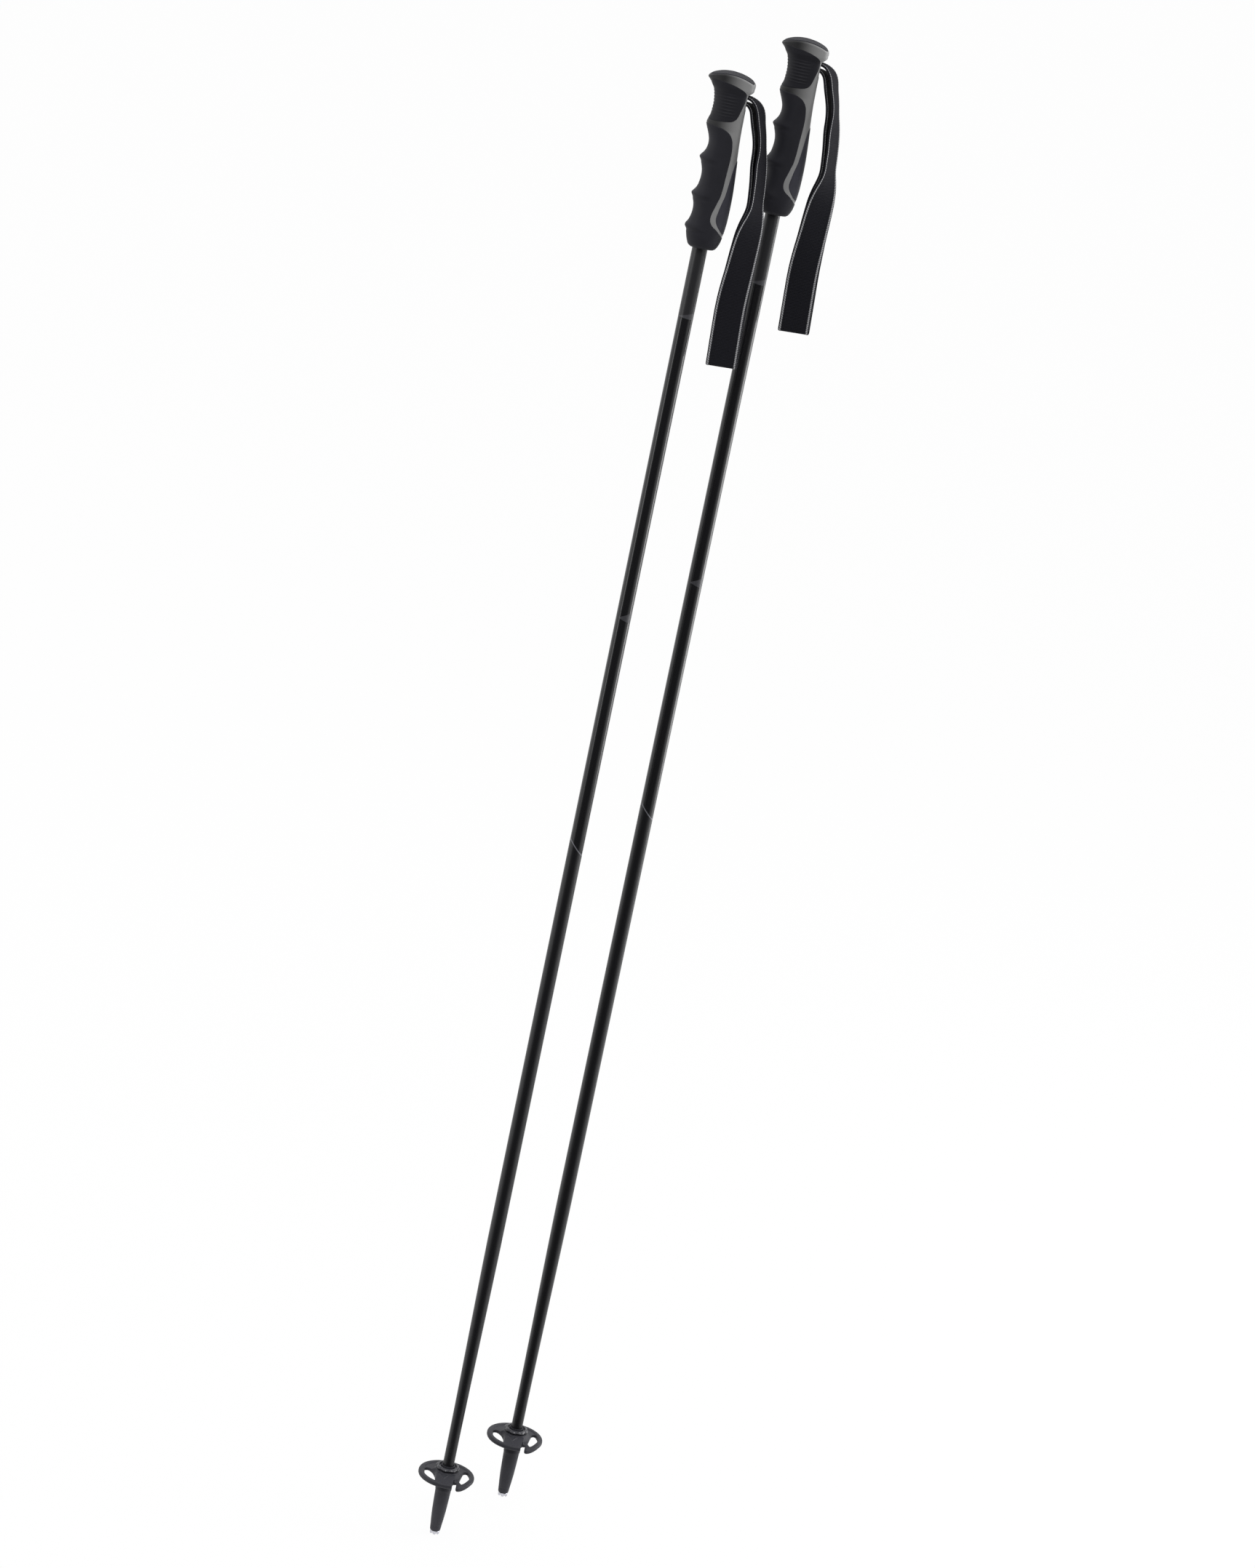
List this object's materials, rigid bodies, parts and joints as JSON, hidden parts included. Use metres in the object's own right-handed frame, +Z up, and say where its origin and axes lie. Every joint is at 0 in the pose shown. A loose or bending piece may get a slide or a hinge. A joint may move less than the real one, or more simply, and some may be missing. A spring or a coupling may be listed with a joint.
{
  "type": "ski pole pair",
  "caption": "Fixed-length ski poles, each a tapered tube with a ridged two-tone grip, a hanging webbing wrist strap, a windowed snow basket and a steel crown tip.",
  "frame": {"origin": "middle of the pair at its lowest level, the end of the left tip", "axes": "+Z up the shafts, +X towards the backs of the grips where the straps hang, +Y from the left pole towards the right one"},
  "size_m": [0.1264, 0.0796, 1.3346],
  "materials": {
    "shaft": "satin dark lacquer on aluminium, glossy in the middle",
    "grey_core": "smooth moulded grey",
    "ribbed_rubber": "matt black with fine ribs",
    "finger_rubber": "matt black, fine grain",
    "heel_rubber": "matt black, fine grain",
    "dark_cap": "matt dark grey",
    "pin_steel": "plain drawn steel",
    "black_webbing": "woven black webbing with pale edge lines",
    "ferrule_plastic": "matt dark grey",
    "basket_plastic": "matt dark grey",
    "collar_plastic": "matt dark grey",
    "tip_steel": "bright ground steel"
  },
  "bodies": {
    "left_pole": {"left_shaft": "shaft", "left_grip_core": "grey_core", "left_thumb_pad": "ribbed_rubber", "left_finger_pad": "finger_rubber", "left_heel_pad": "heel_rubber", "left_strap_pin": "pin_steel", "left_ferrule": "ferrule_plastic", "left_basket_ring": "collar_plastic", "left_tip": "tip_steel"},
    "left_strap": {"left_strap": "black_webbing"},
    "left_basket": {"left_basket": "basket_plastic"},
    "left_strap_lock": {"left_strap_lock": "dark_cap"},
    "right_pole": {"right_shaft": "shaft", "right_grip_core": "grey_core", "right_thumb_pad": "ribbed_rubber", "right_finger_pad": "finger_rubber", "right_heel_pad": "heel_rubber", "right_strap_pin": "pin_steel", "right_ferrule": "ferrule_plastic", "right_basket_ring": "collar_plastic", "right_tip": "tip_steel"},
    "right_strap": {"right_strap": "black_webbing"},
    "right_basket": {"right_basket": "basket_plastic"},
    "right_strap_lock": {"right_strap_lock": "dark_cap"}
  },
  "joints": [
    {"name": "left_strap_swing", "type": "hinge", "parent": "left_pole", "child": "left_strap", "pos_m": [-0.02959, -0.015, 1.28128], "axis": [0, -1, 0], "range_deg": [0, 40]},
    {"name": "left_basket_turn", "type": "hinge", "parent": "left_pole", "child": "left_basket", "pos_m": [-0.03839, -0.015, 0.0493], "axis": [0, 0, 1], "continuous": true},
    {"name": "left_lock_lift", "type": "slide", "parent": "left_pole", "child": "left_strap_lock", "axis": [0, 0, 1], "range_m": [0, 0.008]},
    {"name": "right_strap_swing", "type": "hinge", "parent": "right_pole", "child": "right_strap", "pos_m": [0.02241, 0.015, 1.31588], "axis": [0, -1, 0], "range_deg": [0, 40]},
    {"name": "right_basket_turn", "type": "hinge", "parent": "right_pole", "child": "right_basket", "pos_m": [0.01361, 0.015, 0.0839], "axis": [0, 0, 1], "continuous": true},
    {"name": "right_lock_lift", "type": "slide", "parent": "right_pole", "child": "right_strap_lock", "axis": [0, 0, 1], "range_m": [0, 0.008]},
    {"name": "pair_slide", "type": "slide", "parent": "left_pole", "child": "right_pole", "axis": [0, 0, 1], "range_m": [0, 0.25]}
  ]
}
